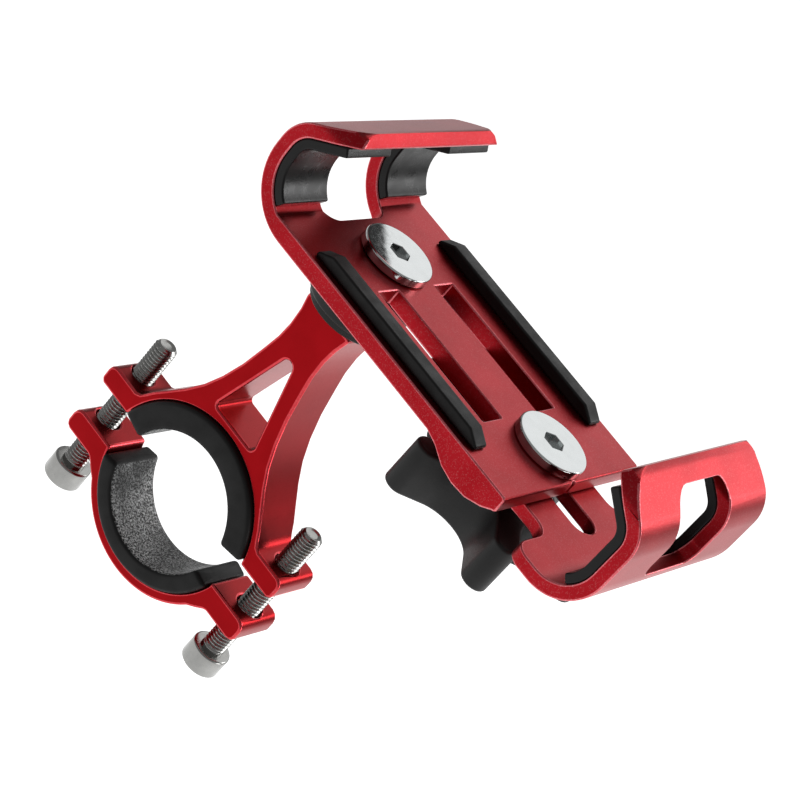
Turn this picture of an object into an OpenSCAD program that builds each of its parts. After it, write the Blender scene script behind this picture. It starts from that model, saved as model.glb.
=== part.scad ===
// Handlebar mount for a phone: split clamp with an arm, a swivelling holder plate
// with a fixed hook, and a sliding hooked jaw locked by a star knob.
// Frame: origin at the centre of the handlebar bore, X along the handlebar,
// Z up the arm, +Y towards the fixed hook, -Y towards the sliding jaw. Millimetres.

/* [Show] */
// which sub-part to build, or all of them
// number of facets on preview circles
facets = 96; // [32:8:160]

/* [Handlebar clamp] */
// radius of the handlebar that the rubber pads grip
bar_r = 14.3; // [11:0.1:16]
// thickness of the upper rubber pad
upper_pad_t = 5.6; // [3:0.1:7]
// thickness of the lower rubber pad
lower_pad_t = 3.9; // [2:0.1:6]
// thickness of the band round the lower pad
band_t = 2.4; // [1.5:0.1:5]
// width of the clamp and arm along the handlebar
clamp_w = 11.8; // [8:0.1:24]
// width of the rubber pads along the handlebar
pad_w = 14.2; // [8:0.1:26]
// distance of each clamp screw from the middle plane
screw_y = 24.6; // [20:0.1:32]
// distance of each ear's end from the middle plane
ear_end_y = 28.8; // [24:0.1:38]
// height of the underside of the upper ears
upper_ear_bottom = 4.1; // [1:0.1:8]
// thickness of the upper ears
upper_ear_t = 4.9; // [3:0.1:8]
// height of the top of the lower ears
lower_ear_top = -3.9; // [-8:0.1:-1]
// thickness of the lower ears
lower_ear_t = 5.3; // [3:0.1:8]
// height where the upper pad ends above the split
upper_pad_end = 4.8; // [2:0.1:8]
// height where the lower pad ends below the split
lower_pad_end = -5.2; // [-8:0.1:-2]
// slope of the pads' ends towards the bar
pad_slope = 0.2; // [0:0.05:0.4]

/* [Arm] */
// height of the top face of the arm
arm_top = 54; // [40:0.5:80]
// half width of the neck at its narrowest
neck_half = 5.3; // [4:0.1:10]
// height of the narrowest place of the neck
neck_z = 46.5; // [38:0.5:60]
// half width of the top of the neck
neck_top_half = 6.3; // [4:0.1:12]
// height of the foot of the triangular window
window_bottom = 21.8; // [20:0.1:30]
// height of the tip of the triangular window
window_top = 41; // [30:0.5:48]
// half width of the window at its foot
window_half = 5.9; // [3:0.1:8]
// corner radius of the window
window_r = 1.0; // [0.5:0.1:3]

/* [Clamp screws] */
// thread radius of the clamp screws
screw_r = 2.5; // [2:0.1:4]
// length of the clamp screws under the head
screw_len = 35; // [20:1:60]
// height of the underside of the heads
screw_head_z = -17; // [-30:0.5:-10]
// radius of the cap heads
cap_r = 4.25; // [3:0.05:7]
// height of the cap heads
cap_h = 5; // [3:0.1:8]
// hexagon socket size across flats
cap_socket = 4; // [2:0.5:6]

/* [Swivel] */
// radius of the black swivel disc
disc_r = 10; // [6:0.1:16]
// height of the wide part of the disc above its foot
disc_step = 1.7; // [0.5:0.1:4]
// radius of the foot of the disc
disc_foot_r = 8.8; // [5:0.1:14]
// radius of the swivel screw
swivel_r = 3; // [2:0.1:5]
// depth of the swivel screw in the arm
swivel_depth = 10; // [5:0.5:12]

/* [Chrome heads] */
// radius of the two flat chrome heads
head_r = 7.6; // [5:0.1:10]
// height of the flat chrome heads
head_h = 2; // [1:0.1:4]
// width of the bevel round the chrome heads
head_bevel = 0.5; // [0.2:0.1:1]
// hexagon socket of the chrome heads across flats
head_socket = 4; // [2:0.5:5]
// depth of the sockets in the chrome heads
socket_depth = 1.5; // [0.5:0.1:2]

/* [Holder plate] */
// height of the top face of the plate
plate_top = 69; // [50:0.5:90]
// thickness of the plate
plate_t = 3.6; // [2:0.1:6]
// half width of the plate, hook and jaw
plate_half = 24.2; // [18:0.1:32]
// position of the lower end of the plate
plate_end_y = -55.2; // [-70:0.1:-45]
// depth of the side lips below the underside near the lower end
lip_drop = 3; // [0:0.1:6]
// width of the side lips
lip_w = 3; // [1:0.1:6]
// centre of the swivel slots from the middle
slot_x = 9.3; // [6:0.1:14]
// width of the two long slots
slot_w = 6.6; // [3:0.1:8]
// upper end of the two long slots
slot_y1 = -7.2; // [-20:0.1:0]
// lower end of the two long slots
slot_y0 = -38.6; // [-45:0.1:-25]
// distance of the jaw screw from the swivel
jaw_screw_y = -47; // [-60:0.1:-40]

/* [Fixed hook and jaw curl] */
// thickness of the hook's curled sheet
curl_t = 2.9; // [2:0.1:5]
// distance of the hook's back from the swivel
hook_back_y = 22.2; // [16:0.1:35]
// outer radius of the hook's lower bend
hook_r = 12.9; // [6:0.1:16]
// outer radius of the upper bends
lip_r = 7.9; // [4:0.1:12]
// height where the upper bends start
lip_bend_z = 80; // [74:0.1:95]
// angle of the straight lips above the plate
lip_angle = 34; // [10:1:60]
// length of the straight lips
lip_len = 10.4; // [4:0.1:16]
// half width of the window between the legs
leg_gap_half = 9.6; // [5:0.1:16]
// corner radius of the windows
leg_gap_r = 3.6; // [1:0.1:6]
// height where the hook's window ends under its lip
leg_gap_top = 85.6; // [78:0.1:92]
// position of the hook window's lower edge
hook_gap_y = 10.6; // [6:0.1:14]
// corner radius at the far ends of the lips
lip_corner_r = 6; // [1:0.5:10]

/* [Sliding jaw] */
// distance of the jaw's back from the swivel
jaw_back_y = -78.3; // [-100:0.1:-70]
// outer radius of the jaw's lower bend
jaw_r = 10.9; // [6:0.1:14]
// half width of the tongue
tongue_half = 12.6; // [8:0.1:20]
// position of the tongue's inner end
tongue_end_y = -20.5; // [-35:0.1:-12]
// position of the shoulders where the jaw widens
shoulder_y = -61.6; // [-70:0.1:-56]
// thickness of the tongue and of the jaw's curl
tongue_t = 2.9; // [2:0.1:5]
// gap between the plate and the tongue
slide_gap = 0.3; // [0.1:0.05:1]
// width of the slot in the tongue
tongue_slot_w = 6.4; // [5:0.1:8]
// outer end of the tongue slot
tongue_slot_y0 = -64; // [-66:0.1:-55]
// inner end of the tongue slot
tongue_slot_y1 = -25.5; // [-40:0.1:-20]
// how far the cut of the jaw's window reaches in under the lip
jaw_gap_y = -66; // [-74:0.1:-64]
// height where the jaw's window starts in its back
jaw_gap_bottom = 72; // [68:0.1:78]
// height where the jaw's window ends in its lip
jaw_gap_top = 88.7; // [78:0.1:92]
// how much shorter the jaw's lip is than the hook's
jaw_lip_short = 1.6; // [0:0.1:4]
// radius of the jaw's shoulder corners and of the hollow corners at the tongue
shoulder_r = 3.4; // [1:0.1:5]

/* [Rubber] */
// thickness of the pads in the hooks
hook_pad_t = 2; // [1:0.1:3]
// set-back of the pads from the lip ends
hook_pad_back = 2.5; // [0:0.1:8]
// inner edge of the rest strips from the middle
strip_x0 = 18.4; // [12:0.1:22]
// width of the rest strips
strip_w = 4; // [2:0.1:6]
// height of the rest strips
strip_h = 2.5; // [1:0.1:5]
// upper end of the rest strips
strip_y1 = 3; // [0:0.1:8]
// lower end of the rest strips
strip_y0 = -44.2; // [-50:0.1:-30]
// length of the sloped ends of the strips
strip_slope = 3.2; // [0:0.1:6]

/* [Star knob] */
// height of the knob's underside
knob_bottom = 48.5; // [35:0.1:55]
// height of the knob's body
knob_h = 10.8; // [6:0.1:12]
// number of lobes
knob_lobes = 5; // [4:1:7]
// distance of the lobe tips from the axis
knob_tip_r = 22.2; // [16:0.1:28]
// half width of the lobes, and radius of their round tips
knob_lobe_r = 2.8; // [2:0.1:4]
// distance of the hollow sides from the axis
knob_waist_r = 10; // [8:0.1:14]
// radius of the collar on top of the knob
collar_r = 6.4; // [5.5:0.1:9]
// radius of the brass insert
insert_r = 4; // [3:0.1:5]
// radius of the knob washer
washer_r = 7; // [5:0.1:10]
// thickness of the knob washer
washer_t = 1.2; // [0.5:0.1:2]

/* [Hidden] */
$fn = facets;
eps = 0.01;
run_fit = 0.05;
free_fit = 0.3;
touch = 0.1;
bend_step = 5;
plate_bottom = plate_top - plate_t;
upper_seat_r = bar_r + upper_pad_t;
lower_seat_r = bar_r + lower_pad_t;
band_r = lower_seat_r + band_t;
upper_ear_top = upper_ear_bottom + upper_ear_t;
lower_ear_bottom = lower_ear_top - lower_ear_t;
disc_top = plate_bottom - touch;
tongue_top = plate_bottom - slide_gap;
tongue_bottom = tongue_top - tongue_t;
knob_top = knob_bottom + knob_h;
washer_bottom = tongue_bottom - touch - washer_t;
hook_cz = plate_bottom + hook_r;
hook_cy = hook_back_y - hook_r;
jaw_cz = tongue_bottom + jaw_r;
jaw_cy = jaw_back_y + jaw_r;
red_satin = [0.62, 0.06, 0.09];
red_blast = [0.70, 0.16, 0.22];
rubber = [0.09, 0.09, 0.09];
bright = [0.80, 0.81, 0.83];
plastic = [0.13, 0.13, 0.13];
brass = [0.78, 0.62, 0.30];

// Extrude a (y, z) outline along X, centred on the middle plane.
module along_x(width) {
  rotate([90, 0, 90])
    translate([0, 0, -width / 2])
      linear_extrude(height = width)
        children();
}

// Extrude a (y, z) outline along X between two x positions.
module between_x(x0, x1) {
  rotate([90, 0, 90])
    translate([0, 0, x0])
      linear_extrude(height = x1 - x0)
        children();
}

// A half outline and its mirror image joined into one closed outline.
function both_halves(pts) = concat(pts, flipped(pts));

// Points along an arc about (cy, cz), from angle a0 to a1, a point about every bend_step.
function bend(cy, cz, r, a0, a1) =
  let (n = round(abs(a1 - a0) / bend_step))
  [for (i = [0:n]) let (a = a0 + (a1 - a0) * i / n) [cy + r * cos(a), cz + r * sin(a)]];

// Corner of a straight lip: distance in from its end, depth d below the sheet's outer face.
function lip_point(back, cut_back, d) =
  let (along = -lip_len + cut_back,
       out = lip_r - d)
  [back - lip_r + along * cos(lip_angle) + out * sin(lip_angle),
   lip_bend_z - along * sin(lip_angle) + out * cos(lip_angle)];

// Curl of the sheet at depth d below its outer face, from angle a0 of the lower bend to the lip's end.
function curl_path(back, r, cz, d, a0, cut_back) =
  concat(bend(back - r, cz, r - d, a0, 0),
         bend(back - lip_r, lip_bend_z, lip_r - d, 0, 90 - lip_angle),
         [lip_point(back, cut_back, d)]);

// The same points in the opposite order, and mirrored to the other side.
function reversed(pts) = [for (i = [len(pts) - 1:-1:0]) pts[i]];
function flipped(pts) = [for (p = reversed(pts)) [-p[0], p[1]]];

// Whole outline of a curl between two depths, from angle a0.
function curl_band(back, r, cz, d_out, d_in, a0, cut_back) =
  concat(curl_path(back, r, cz, d_out, a0, cut_back),
         reversed(curl_path(back, r, cz, d_in, a0, cut_back)));

// Rounded rectangle: x from -leg_gap_half to leg_gap_half, y from y0 to y1.
module gap_outline(y0, y1) {
  r = leg_gap_r;
  translate([-leg_gap_half, y0 + r])
    square([2 * leg_gap_half, y1 - y0 - 2 * r]);
  translate([-leg_gap_half + r, y0])
    square([2 * leg_gap_half - 2 * r, y1 - y0]);
  for (sx = [-1, 1], y = [y0 + r, y1 - r])
    translate([sx * (leg_gap_half - r), y])
      circle(r = r);
}

// Elevation of the window between heights z0 and z1, corners rounded in short flats.
module gap_elevation(z0, z1) {
  r = leg_gap_r;
  w = leg_gap_half + eps;
  polygon(both_halves(concat(
          [for (a = [-90:15:0]) [w - r + r * cos(a), z0 + r + r * sin(a)]],
          [for (a = [0:15:90]) [w - r + r * cos(a), z1 - r + r * sin(a)]])));
}

// Window between the legs: rounded in plan at the sheet's edge and in elevation under the lip.
module leg_window(y0, y1, z0, z1) {
  intersection() {
    translate([0, 0, z0 - 1])
      linear_extrude(height = z1 - z0 + 2)
        gap_outline(y0, y1);
    translate([0, y1 + 1, 0])
      rotate([90, 0, 0])
        linear_extrude(height = y1 - y0 + 2)
          gap_elevation(z0, z1);
  }
}

// Arm outline about the middle plane.
module arm_outline() {
  polygon(both_halves(
          [[ear_end_y - 0.8, upper_ear_bottom],
           [ear_end_y, upper_ear_bottom + 0.8],
           [ear_end_y, upper_ear_top - 1.8],
           [ear_end_y - 0.25, upper_ear_top - 0.9],
           [ear_end_y - 0.9, upper_ear_top - 0.25],
           [ear_end_y - 1.8, upper_ear_top],
           [20.9, upper_ear_top],
           [19.9, upper_ear_top + 0.5],
           [19.1, upper_ear_top + 1.6],
           [18, 12.4],
           [15.9, 15.2],
           [13.2, 18.9],
           [10.9, 22.7],
           [9.0, 27.2],
           [7.4, 32.5],
           [6.2, 38.5],
           [neck_half + 0.2, neck_z - 4],
           [neck_half, neck_z],
           [neck_half + 0.3, neck_z + 3.5],
           [neck_top_half, arm_top - 1],
           [neck_top_half, arm_top]]));
}

// Triangular window of the arm with rounded corners.
module arm_window() {
  hull() {
    for (sy = [-1, 1])
      translate([sy * (window_half - window_r), window_bottom + window_r])
        circle(r = window_r, $fn = 32);
    translate([0, window_top - window_r - 0.4])
      circle(r = window_r + 0.4, $fn = 32);
  }
}

module upper_clamp_arm() {
  color(red_satin)
    difference() {
      along_x(clamp_w)
        difference() {
          arm_outline();
          circle(r = upper_seat_r);
          arm_window();
        }
      for (sy = [-1, 1])
        translate([0, sy * screw_y, upper_ear_bottom - 1])
          cylinder(h = upper_ear_t + 8, r = screw_r + run_fit);
      translate([0, 0, arm_top - swivel_depth - 1])
        cylinder(h = swivel_depth + 2, r = swivel_r + run_fit);
    }
}

// Both ears of the lower clamp, joined through the bore that is cut away afterwards.
module lower_ears() {
  polygon(both_halves(
          [[lower_seat_r - 4, lower_ear_top],
           [ear_end_y - 2, lower_ear_top],
           [ear_end_y - 1, lower_ear_top - 0.27],
           [ear_end_y - 0.27, lower_ear_top - 1],
           [ear_end_y, lower_ear_top - 2],
           [ear_end_y, lower_ear_bottom + 1.4],
           [ear_end_y - 0.4, lower_ear_bottom + 0.4],
           [ear_end_y - 1.4, lower_ear_bottom],
           [20.2, lower_ear_bottom],
           [18.4, lower_ear_bottom - 1.6],
           [16.6, lower_ear_bottom - 3],
           [lower_seat_r - 6, lower_ear_bottom - 3]]));
}

module lower_clamp() {
  color(red_satin)
    difference() {
      union() {
        along_x(clamp_w)
          intersection() {
            circle(r = band_r);
            translate([-band_r - 1, -band_r - 1])
              square([2 * band_r + 2, band_r + 1 + lower_ear_top - 1]);
          }
        along_x(clamp_w)
          lower_ears();
      }
      rotate([0, 90, 0])
        cylinder(h = clamp_w + 4, r = lower_seat_r, center = true);
      for (sy = [-1, 1])
        translate([0, sy * screw_y, lower_ear_bottom - 1])
          cylinder(h = lower_ear_t + 2, r = screw_r + free_fit);
    }
}

// Rubber pad of the clamp: ring sector, ends cut at a slight slope towards the bar.
module clamp_pad(seat, end_z, up) {
  side = up ? 1 : -1;
  wide = seat + 1;
  color(rubber)
    along_x(pad_w)
      difference() {
        intersection() {
          circle(r = seat);
          polygon([[-wide, end_z + side * pad_slope], [0, end_z - side * pad_slope * seat],
                   [wide, end_z + side * pad_slope], [wide, side * wide],
                   [-wide, side * wide]]);
        }
        circle(r = bar_r);
      }
}

module upper_clamp_pad() {
  clamp_pad(upper_seat_r, upper_pad_end, true);
}

module lower_clamp_pad() {
  clamp_pad(lower_seat_r, lower_pad_end, false);
}

// Cap screw pointing up, head below.
module clamp_screw(y) {
  color(bright)
    translate([0, y, 0])
      difference() {
        union() {
          translate([0, 0, screw_head_z - cap_h])
            cylinder(h = 0.4, r1 = cap_r - 0.4, r2 = cap_r);
          translate([0, 0, screw_head_z - cap_h + 0.4])
            cylinder(h = cap_h - 0.4, r = cap_r);
          translate([0, 0, screw_head_z])
            cylinder(h = screw_len - 0.6, r = screw_r);
          translate([0, 0, screw_head_z + screw_len - 0.6])
            cylinder(h = 0.6, r1 = screw_r, r2 = screw_r - 0.6);
        }
        translate([0, 0, screw_head_z - cap_h - 1])
          cylinder(h = 3.6, r = cap_socket / 2 / cos(30), $fn = 6);
      }
}

module clamp_screw_a() {
  clamp_screw(screw_y);
}

module clamp_screw_b() {
  clamp_screw(-screw_y);
}

module swivel_disc() {
  color(rubber)
    difference() {
      union() {
        translate([0, 0, arm_top])
          cylinder(h = disc_step, r = disc_foot_r);
        translate([0, 0, arm_top + disc_step])
          cylinder(h = disc_top - arm_top - disc_step, r = disc_r);
      }
      translate([0, 0, arm_top - 1])
        cylinder(h = disc_top - arm_top + 2, r = swivel_r + run_fit);
    }
}

// Flat chrome head with a bevelled rim and a hexagon socket, on a plain shank.
module flat_head_screw(shank_r, z_end, z_head) {
  color(bright)
    difference() {
      union() {
        translate([0, 0, z_end])
          cylinder(h = z_head - z_end + eps, r = shank_r);
        translate([0, 0, z_head])
          cylinder(h = head_h - head_bevel, r = head_r);
        translate([0, 0, z_head + head_h - head_bevel])
          cylinder(h = head_bevel, r1 = head_r, r2 = head_r - head_bevel);
      }
      translate([0, 0, z_head + head_h - socket_depth])
        cylinder(h = socket_depth + 1, r = head_socket / 2 / cos(30), $fn = 6);
    }
}

module swivel_screw() {
  flat_head_screw(swivel_r, arm_top - swivel_depth, plate_top + touch);
}

module jaw_screw() {
  translate([0, jaw_screw_y, 0])
    flat_head_screw(screw_r, knob_bottom + 2, plate_top);
}

// Outline of the plate and its fixed hook in (y, z).
module plate_outline() {
  meet = asin((hook_cz - plate_top) / (hook_r - curl_t));
  polygon(concat([[plate_end_y, plate_bottom + 0.4],
                  [plate_end_y + 0.4, plate_bottom]],
                 curl_path(hook_back_y, hook_r, hook_cz, 0, -90, 0),
                 reversed(curl_path(hook_back_y, hook_r, hook_cz, curl_t, -65, 0)),
                 [[hook_cy + (hook_r - curl_t) * cos(meet), plate_top],
                  [plate_end_y + 0.5, plate_top],
                  [plate_end_y, plate_top - 0.5]]));
}

// Side lip below the plate near its lower end.
module lip_profile() {
  polygon([[plate_end_y + 0.6, plate_bottom + eps],
           [plate_end_y + 2.6, plate_bottom - 0.45 * lip_drop],
           [plate_end_y + 6, plate_bottom - 0.9 * lip_drop],
           [plate_end_y + 9.5, plate_bottom - lip_drop],
           [plate_end_y + 13, plate_bottom - 0.8 * lip_drop],
           [plate_end_y + 16.5, plate_bottom - 0.25 * lip_drop],
           [plate_end_y + 19.5, plate_bottom + eps]]);
}

// Block that rounds off the two outer corners of a lip when taken away.
module lip_corners(y0, y1, tip_z) {
  for (sx = [-1, 1])
    translate([sx * plate_half, 0, 0])
      difference() {
        translate([sx > 0 ? -lip_corner_r : -1, y0, lip_bend_z])
          cube([lip_corner_r + 1, y1 - y0, 40]);
        translate([-sx * lip_corner_r, y0 - 1, tip_z - lip_corner_r])
          rotate([-90, 0, 0])
            cylinder(h = y1 - y0 + 2, r = lip_corner_r);
        translate([sx > 0 ? -lip_corner_r - 1 : -2, y0 - 1, lip_bend_z - 1])
          cube([lip_corner_r + 3, y1 - y0 + 2, tip_z - lip_corner_r - lip_bend_z + 1]);
      }
}

// Highest point of the lips.
function lip_tip_z(cut_back) =
  lip_bend_z + lip_r * cos(lip_angle) + (lip_len - cut_back) * sin(lip_angle);

// Small centring notch in an edge.
module edge_notch(y, z) {
  translate([0, y, z])
    rotate([0, 0, 45])
      cube([0.8, 0.8, 4], center = true);
}

module holder_plate() {
  color(red_blast)
    difference() {
      union() {
        along_x(2 * plate_half)
          plate_outline();
        between_x(-plate_half, -plate_half + lip_w)
          lip_profile();
        between_x(plate_half - lip_w, plate_half)
          lip_profile();
      }
      for (sx = [-1, 1])
        translate([sx * slot_x - slot_w / 2, slot_y0, plate_bottom - 1])
          cube([slot_w, slot_y1 - slot_y0, plate_t + 2]);
      translate([0, 0, plate_bottom - 1])
        cylinder(h = plate_t + 2, r = swivel_r + run_fit);
      translate([0, jaw_screw_y, plate_bottom - 1])
        cylinder(h = plate_t + 2, r = screw_r + run_fit);
      leg_window(hook_gap_y, hook_back_y + 12, plate_bottom - 8, leg_gap_top);
      lip_corners(hook_cy - 4, hook_back_y + 1, lip_tip_z(0));
      edge_notch(plate_end_y, plate_bottom + plate_t / 2);
    }
}

module strip(x0) {
  color(rubber)
    between_x(x0, x0 + strip_w)
      polygon([[strip_y0, plate_top],
               [strip_y1, plate_top],
               [strip_y1, plate_top + 0.8],
               [strip_y1 - strip_slope, plate_top + strip_h],
               [strip_y0 + strip_slope, plate_top + strip_h],
               [strip_y0, plate_top + 0.8]]);
}

module rest_strip_left() {
  strip(-strip_x0 - strip_w);
}

module rest_strip_right() {
  strip(strip_x0);
}

// Rubber lining inside the hook's curl, on one leg.
module hook_pad(x0, x1) {
  color(rubber)
    between_x(x0, x1)
      polygon(curl_band(hook_back_y, hook_r, hook_cz, curl_t, curl_t + hook_pad_t,
                        -60, hook_pad_back));
}

module hook_pad_left() {
  hook_pad(-plate_half + 0.2, -leg_gap_half - 0.2);
}

module hook_pad_right() {
  hook_pad(leg_gap_half + 0.2, plate_half - 0.2);
}

// Outline of the jaw's wide part in (y, z): short flat from the shoulders, then the curl.
module jaw_outline() {
  polygon(flipped(concat([[-shoulder_y, tongue_bottom]],
                         curl_path(-jaw_back_y, jaw_r, jaw_cz, 0, -90, jaw_lip_short),
                         reversed(curl_path(-jaw_back_y, jaw_r, jaw_cz, tongue_t, -90,
                                            jaw_lip_short)),
                         [[-shoulder_y, tongue_top]])));
}

// Hollow corner between the tongue and a shoulder.
module tongue_fillet(sx) {
  r = shoulder_r;
  difference() {
    translate([sx > 0 ? tongue_half - 0.5 : -tongue_half - r, shoulder_y - 0.5, tongue_bottom])
      cube([r + 0.5, r + 0.5, tongue_t]);
    translate([sx * (tongue_half + r), shoulder_y + r, tongue_bottom - 1])
      cylinder(h = tongue_t + 2, r = r);
  }
}

// Material cut away to round a shoulder's outer corner.
module shoulder_corner(sx) {
  r = shoulder_r;
  difference() {
    translate([sx > 0 ? plate_half - r : -plate_half - 1, shoulder_y - r, tongue_bottom - 1])
      cube([r + 1, r + 1, tongue_t + 2]);
    translate([sx * (plate_half - r), shoulder_y - r, tongue_bottom - 2])
      cylinder(h = tongue_t + 4, r = r);
  }
}

module sliding_jaw() {
  color(red_blast)
    difference() {
      union() {
        translate([-tongue_half, shoulder_y - 1, tongue_bottom])
          cube([2 * tongue_half, tongue_end_y - shoulder_y + 1, tongue_t]);
        along_x(2 * plate_half)
          jaw_outline();
        for (sx = [-1, 1])
          tongue_fillet(sx);
      }
      translate([-tongue_slot_w / 2, tongue_slot_y0 + tongue_slot_w / 2, tongue_bottom - 1])
        cube([tongue_slot_w, tongue_slot_y1 - tongue_slot_y0 - tongue_slot_w, tongue_t + 2]);
      for (y = [tongue_slot_y0 + tongue_slot_w / 2, tongue_slot_y1 - tongue_slot_w / 2])
        translate([0, y, tongue_bottom - 1])
          cylinder(h = tongue_t + 2, r = tongue_slot_w / 2);
      leg_window(jaw_back_y - 12, jaw_gap_y, jaw_gap_bottom, jaw_gap_top);
      lip_corners(jaw_back_y - 1, jaw_cy + 6, lip_tip_z(jaw_lip_short));
      for (sx = [-1, 1])
        shoulder_corner(sx);
    }
}

// Rubber lining inside the jaw's curl, on one leg.
module jaw_pad(x0, x1) {
  color(rubber)
    between_x(x0, x1)
      polygon(flipped(curl_band(-jaw_back_y, jaw_r, jaw_cz, tongue_t, tongue_t + hook_pad_t,
                                -45, hook_pad_back + jaw_lip_short)));
}

module jaw_pad_left() {
  jaw_pad(-plate_half + 0.2, -leg_gap_half - 0.2);
}

module jaw_pad_right() {
  jaw_pad(leg_gap_half + 0.2, plate_half - 0.2);
}

module knob_washer() {
  color(bright)
    translate([0, jaw_screw_y, washer_bottom])
      difference() {
        cylinder(h = washer_t, r = washer_r);
        translate([0, 0, -1])
          cylinder(h = washer_t + 2, r = screw_r + free_fit);
      }
}

// One lobe of the star, pointing along +x: hollow side, round tip, hollow side.
function lobe_outline() =
  let (half = 180 / knob_lobes,
       side_c = (knob_waist_r - knob_lobe_r) / (1 - sin(half)),
       side_r = side_c - knob_waist_r,
       tip_c = knob_tip_r - knob_lobe_r)
  concat([for (i = [0:7])
            let (a = 180 - half - i * (90 - half) / 7)
            side_c * [cos(-half), sin(-half)] + side_r * [cos(a), sin(a)]],
         [for (i = [0:8])
            let (a = -90 + i * 22.5)
            [tip_c + knob_lobe_r * cos(a), knob_lobe_r * sin(a)]],
         [for (i = [0:6])
            let (a = 270 - i * (90 - half) / 7)
            side_c * [cos(half), sin(half)] + side_r * [cos(a), sin(a)]]);

// Star outline with one hollow side facing -x.
module star_outline() {
  lobe = lobe_outline();
  polygon([for (k = [0:knob_lobes - 1], p = lobe)
           let (turn = 360 * k / knob_lobes)
           [p[0] * cos(turn) - p[1] * sin(turn), p[0] * sin(turn) + p[1] * cos(turn)]]);
}

module knob() {
  color(plastic)
    translate([0, jaw_screw_y, 0])
      difference() {
        union() {
          translate([0, 0, knob_bottom])
            linear_extrude(height = knob_h)
              star_outline();
          translate([0, 0, knob_top - 1])
            cylinder(h = washer_bottom - knob_top + 1, r = collar_r);
        }
        translate([0, 0, knob_bottom - 1])
          cylinder(h = washer_bottom - knob_bottom + 2, r = insert_r);
      }
}

module knob_insert() {
  color(brass)
    translate([0, jaw_screw_y, knob_bottom])
      difference() {
        cylinder(h = washer_bottom - knob_bottom, r = insert_r);
        translate([0, 0, -1])
          cylinder(h = washer_bottom - knob_bottom + 2, r = screw_r + run_fit);
      }
}

upper_clamp_arm();
lower_clamp();
upper_clamp_pad();
lower_clamp_pad();
clamp_screw_a();
clamp_screw_b();
swivel_disc();
swivel_screw();
holder_plate();
rest_strip_left();
rest_strip_right();
hook_pad_left();
hook_pad_right();
sliding_jaw();
jaw_pad_left();
jaw_pad_right();
jaw_screw();
knob_washer();
knob();
knob_insert();
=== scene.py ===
"""Phone mount for a handlebar, finished and dressed for a plain studio view.

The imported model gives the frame, the moving bodies and the working shapes.  This script rounds
their edges, cuts the screw threads, moulds the rubber and the star knob, gives every piece its
finish, and sets the camera and the light.  Lengths are metres unless a name ends in _mm.
"""

import logging
import math
from dataclasses import dataclass
from enum import Enum

import bmesh
import bpy
import numpy as np
from mathutils import Matrix, Vector


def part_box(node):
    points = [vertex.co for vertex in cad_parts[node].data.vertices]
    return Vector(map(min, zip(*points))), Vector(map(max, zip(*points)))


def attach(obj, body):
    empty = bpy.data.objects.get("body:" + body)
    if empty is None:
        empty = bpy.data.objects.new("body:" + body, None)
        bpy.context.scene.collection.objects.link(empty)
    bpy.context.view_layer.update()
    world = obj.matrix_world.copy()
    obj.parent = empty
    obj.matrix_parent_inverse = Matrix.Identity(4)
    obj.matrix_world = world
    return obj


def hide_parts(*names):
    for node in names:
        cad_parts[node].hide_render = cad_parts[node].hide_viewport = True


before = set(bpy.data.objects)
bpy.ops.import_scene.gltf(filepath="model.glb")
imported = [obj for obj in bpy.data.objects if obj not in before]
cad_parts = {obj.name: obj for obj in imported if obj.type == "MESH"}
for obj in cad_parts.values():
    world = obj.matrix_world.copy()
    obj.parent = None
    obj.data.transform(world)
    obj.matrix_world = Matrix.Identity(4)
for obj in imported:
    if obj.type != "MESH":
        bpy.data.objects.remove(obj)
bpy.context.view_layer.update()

MM = 0.001
WELD_M = 2e-6
FLAT_DEG = 0.6
# Grey of the pads' inner speckle: partly worn bloom, partly painted sheen.
BLOOM_AND_SHEEN_GREY = (0.62, 0.63, 0.63)
LOG = logging.getLogger("mount")
Triple = tuple[float, float, float]
Colour = Triple
Socket = bpy.types.NodeSocket


class Body(Enum):
    """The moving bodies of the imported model."""

    ARM = "arm"
    LOWER_CLAMP = "lower_clamp"
    SCREW_A = "screw_a"
    SCREW_B = "screw_b"
    HOLDER = "holder"
    JAW = "jaw"
    WASHER = "washer"
    KNOB = "knob"


class Slot(Enum):
    """The record's material slots."""

    RED_SATIN = "red_satin"
    RED_BLASTED = "red_blasted"
    RUBBER = "black_rubber"
    CHROME = "chrome"
    STEEL = "bright_steel"
    PLASTIC = "black_plastic"
    BRASS = "brass"


# --------------------------------------------------------------------------- finishes


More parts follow.
